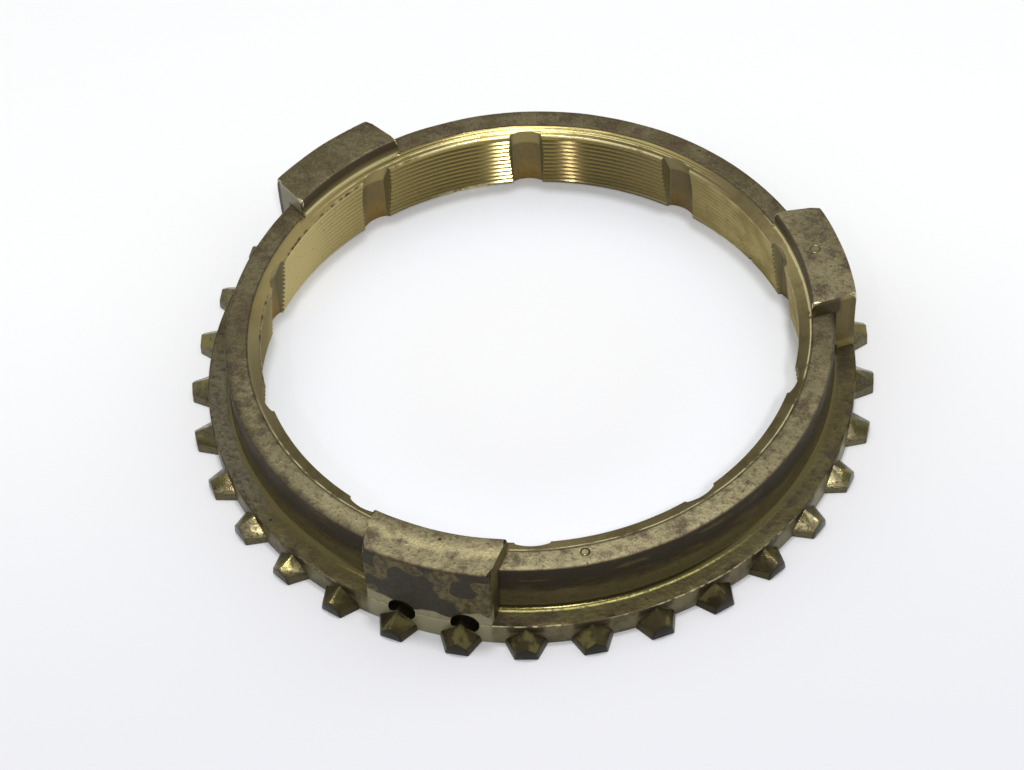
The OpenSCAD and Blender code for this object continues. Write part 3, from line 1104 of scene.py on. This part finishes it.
# Studio, in metres, with the paper's colours near (a painted shade), far and inside the ring (a painted cool
# tint)
FLOOR_HALF = 1.5
PAPER_NEAR_SHADE = (0.77, 0.77, 0.805)
PAPER_FAR = (0.935, 0.935, 0.935)
PAPER_INSIDE = (0.94, 0.958, 1)
STUDIO_LIGHT = 0.9
STUDIO_TINT = (0.97, 0.985, 1, 1)


def add_camera():
    e = math.radians(CAMERA_ELEVATION)
    roll = math.radians(CAMERA_ROLL)
    back = Vector((0, -math.cos(e), math.sin(e)))
    level = Vector((1, 0, 0))
    upright = Vector((0, math.sin(e), math.cos(e)))
    right = level * math.cos(roll) + upright * math.sin(roll)
    up = upright * math.cos(roll) - level * math.sin(roll)
    place = back * CAMERA_DISTANCE - right * CAMERA_OFFSET[0] - up * CAMERA_OFFSET[1]
    columns = [photo_frame(v) for v in (right, up, back, place * (FLANGE_R * MM))]
    data = bpy.data.cameras.new("camera")
    data.sensor_fit = "HORIZONTAL"
    data.sensor_width = SENSOR_W
    data.lens = FOCAL_PX / IMAGE_W * SENSOR_W
    data.clip_start = CLIP_START
    camera = bpy.data.objects.new("camera", data)
    bpy.context.scene.collection.objects.link(camera)
    camera.matrix_world = Matrix([[c[i] for c in columns] for i in range(3)] + [[0, 0, 0, 1]])
    bpy.context.scene.camera = camera


def add_lamp(name, azimuth, elevation, distance, width, power, tint):
    """A square lamp in the photograph's frame, aimed at the ring."""
    a, e = math.radians(azimuth), math.radians(elevation)
    place = photo_frame((math.cos(e) * math.cos(a), math.cos(e) * math.sin(a), math.sin(e))) * distance
    data = bpy.data.lights.new(name, "AREA")
    data.size = width
    data.energy = power
    data.color = tint
    lamp = bpy.data.objects.new(name, data)
    bpy.context.scene.collection.objects.link(lamp)
    lamp.location = place
    lamp.rotation_euler = place.to_track_quat("Z", "Y").to_euler()


def add_floor():
    """White paper, a little greyer towards the camera as painted shade, and bluer around the ring as a
    painted cool tint of its shade.
    """
    corners = ((-1, -1), (1, -1), (1, 1), (-1, 1))
    bm = bmesh.new()
    bm.faces.new([bm.verts.new((FLOOR_HALF * x, FLOOR_HALF * y, 0)) for x, y in corners])
    mesh = bpy.data.meshes.new("floor")
    bm.to_mesh(mesh)
    bm.free()
    bpy.data.materials.new("paper").use_nodes = True
    s = Shader("paper")
    # Greyer towards the camera: painted shade; bluer around the ring: a painted cool tint of its shade.
    colour = s.mix(s.step(s.along(s.place, BACK), -70, 30), PAPER_NEAR_SHADE, PAPER_FAR)
    inside = s.times(s.step(s.r, 12, 30), s.step(s.r, 42, 36))
    s.finish(s.mix(inside, colour, PAPER_INSIDE), 0.7, 0, specular=0.2)
    mesh.materials.append(bpy.data.materials["paper"])
    floor = bpy.data.objects.new("floor", mesh)
    bpy.context.scene.collection.objects.link(floor)


def strength(tree, value, start, end, dim):
    """Strength of the studio's light, which falls from full to dim between two values."""
    node = tree.nodes.new("ShaderNodeMapRange")
    node.interpolation_type = "SMOOTHSTEP"
    for name, number in (("From Min", start), ("From Max", end), ("To Min", STUDIO_LIGHT), ("To Max", dim)):
        node.inputs[name].default_value = number
    tree.links.new(value, node.inputs["Value"])
    return node.outputs[0]


def add_world():
    """Light from above and from both sides, dim towards the front and the back."""
    world = bpy.data.worlds.new("studio")
    bpy.context.scene.world = world
    world.use_nodes = True
    tree = world.node_tree
    direction = tree.nodes.new("ShaderNodeTexCoord").outputs["Generated"]
    to_back = tree.nodes.new("ShaderNodeVectorMath")
    to_back.operation = "DOT_PRODUCT"
    to_back.inputs[1].default_value = photo_frame(BACK)
    tree.links.new(direction, to_back.inputs[0])
    behind = strength(tree, to_back.outputs["Value"], start=0.5, end=0.74, dim=0.2)
    in_front = strength(tree, to_back.outputs["Value"], start=-0.25, end=-0.62, dim=0.14)
    level = tree.nodes.new("ShaderNodeMath")
    level.operation = "MINIMUM"
    tree.links.new(behind, level.inputs[0])
    tree.links.new(in_front, level.inputs[1])
    background = tree.nodes["Background"]
    background.inputs["Color"].default_value = STUDIO_TINT
    tree.links.new(level.outputs[0], background.inputs["Strength"])


ring = build_ring()
forged_material()
turned_material()
teeth_material()
bore_material()
lead_material()
groove_material()
worn_material()

add_camera()
add_floor()
add_world()
add_lamp("overhead", azimuth=75, elevation=85, distance=0.8, width=0.1, power=1.8, tint=(1, 1, 1))
add_lamp("flash", azimuth=-84.2, elevation=52, distance=0.6, width=0.035, power=0.8, tint=(1, 1, 0.98))
add_lamp("left_flash", azimuth=-113, elevation=50, distance=0.6, width=0.02, power=0.12, tint=(1, 0.88, 0.92))
bpy.context.scene.view_settings.view_transform = "Standard"

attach(ring, "root")
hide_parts("synchronizer_ring")
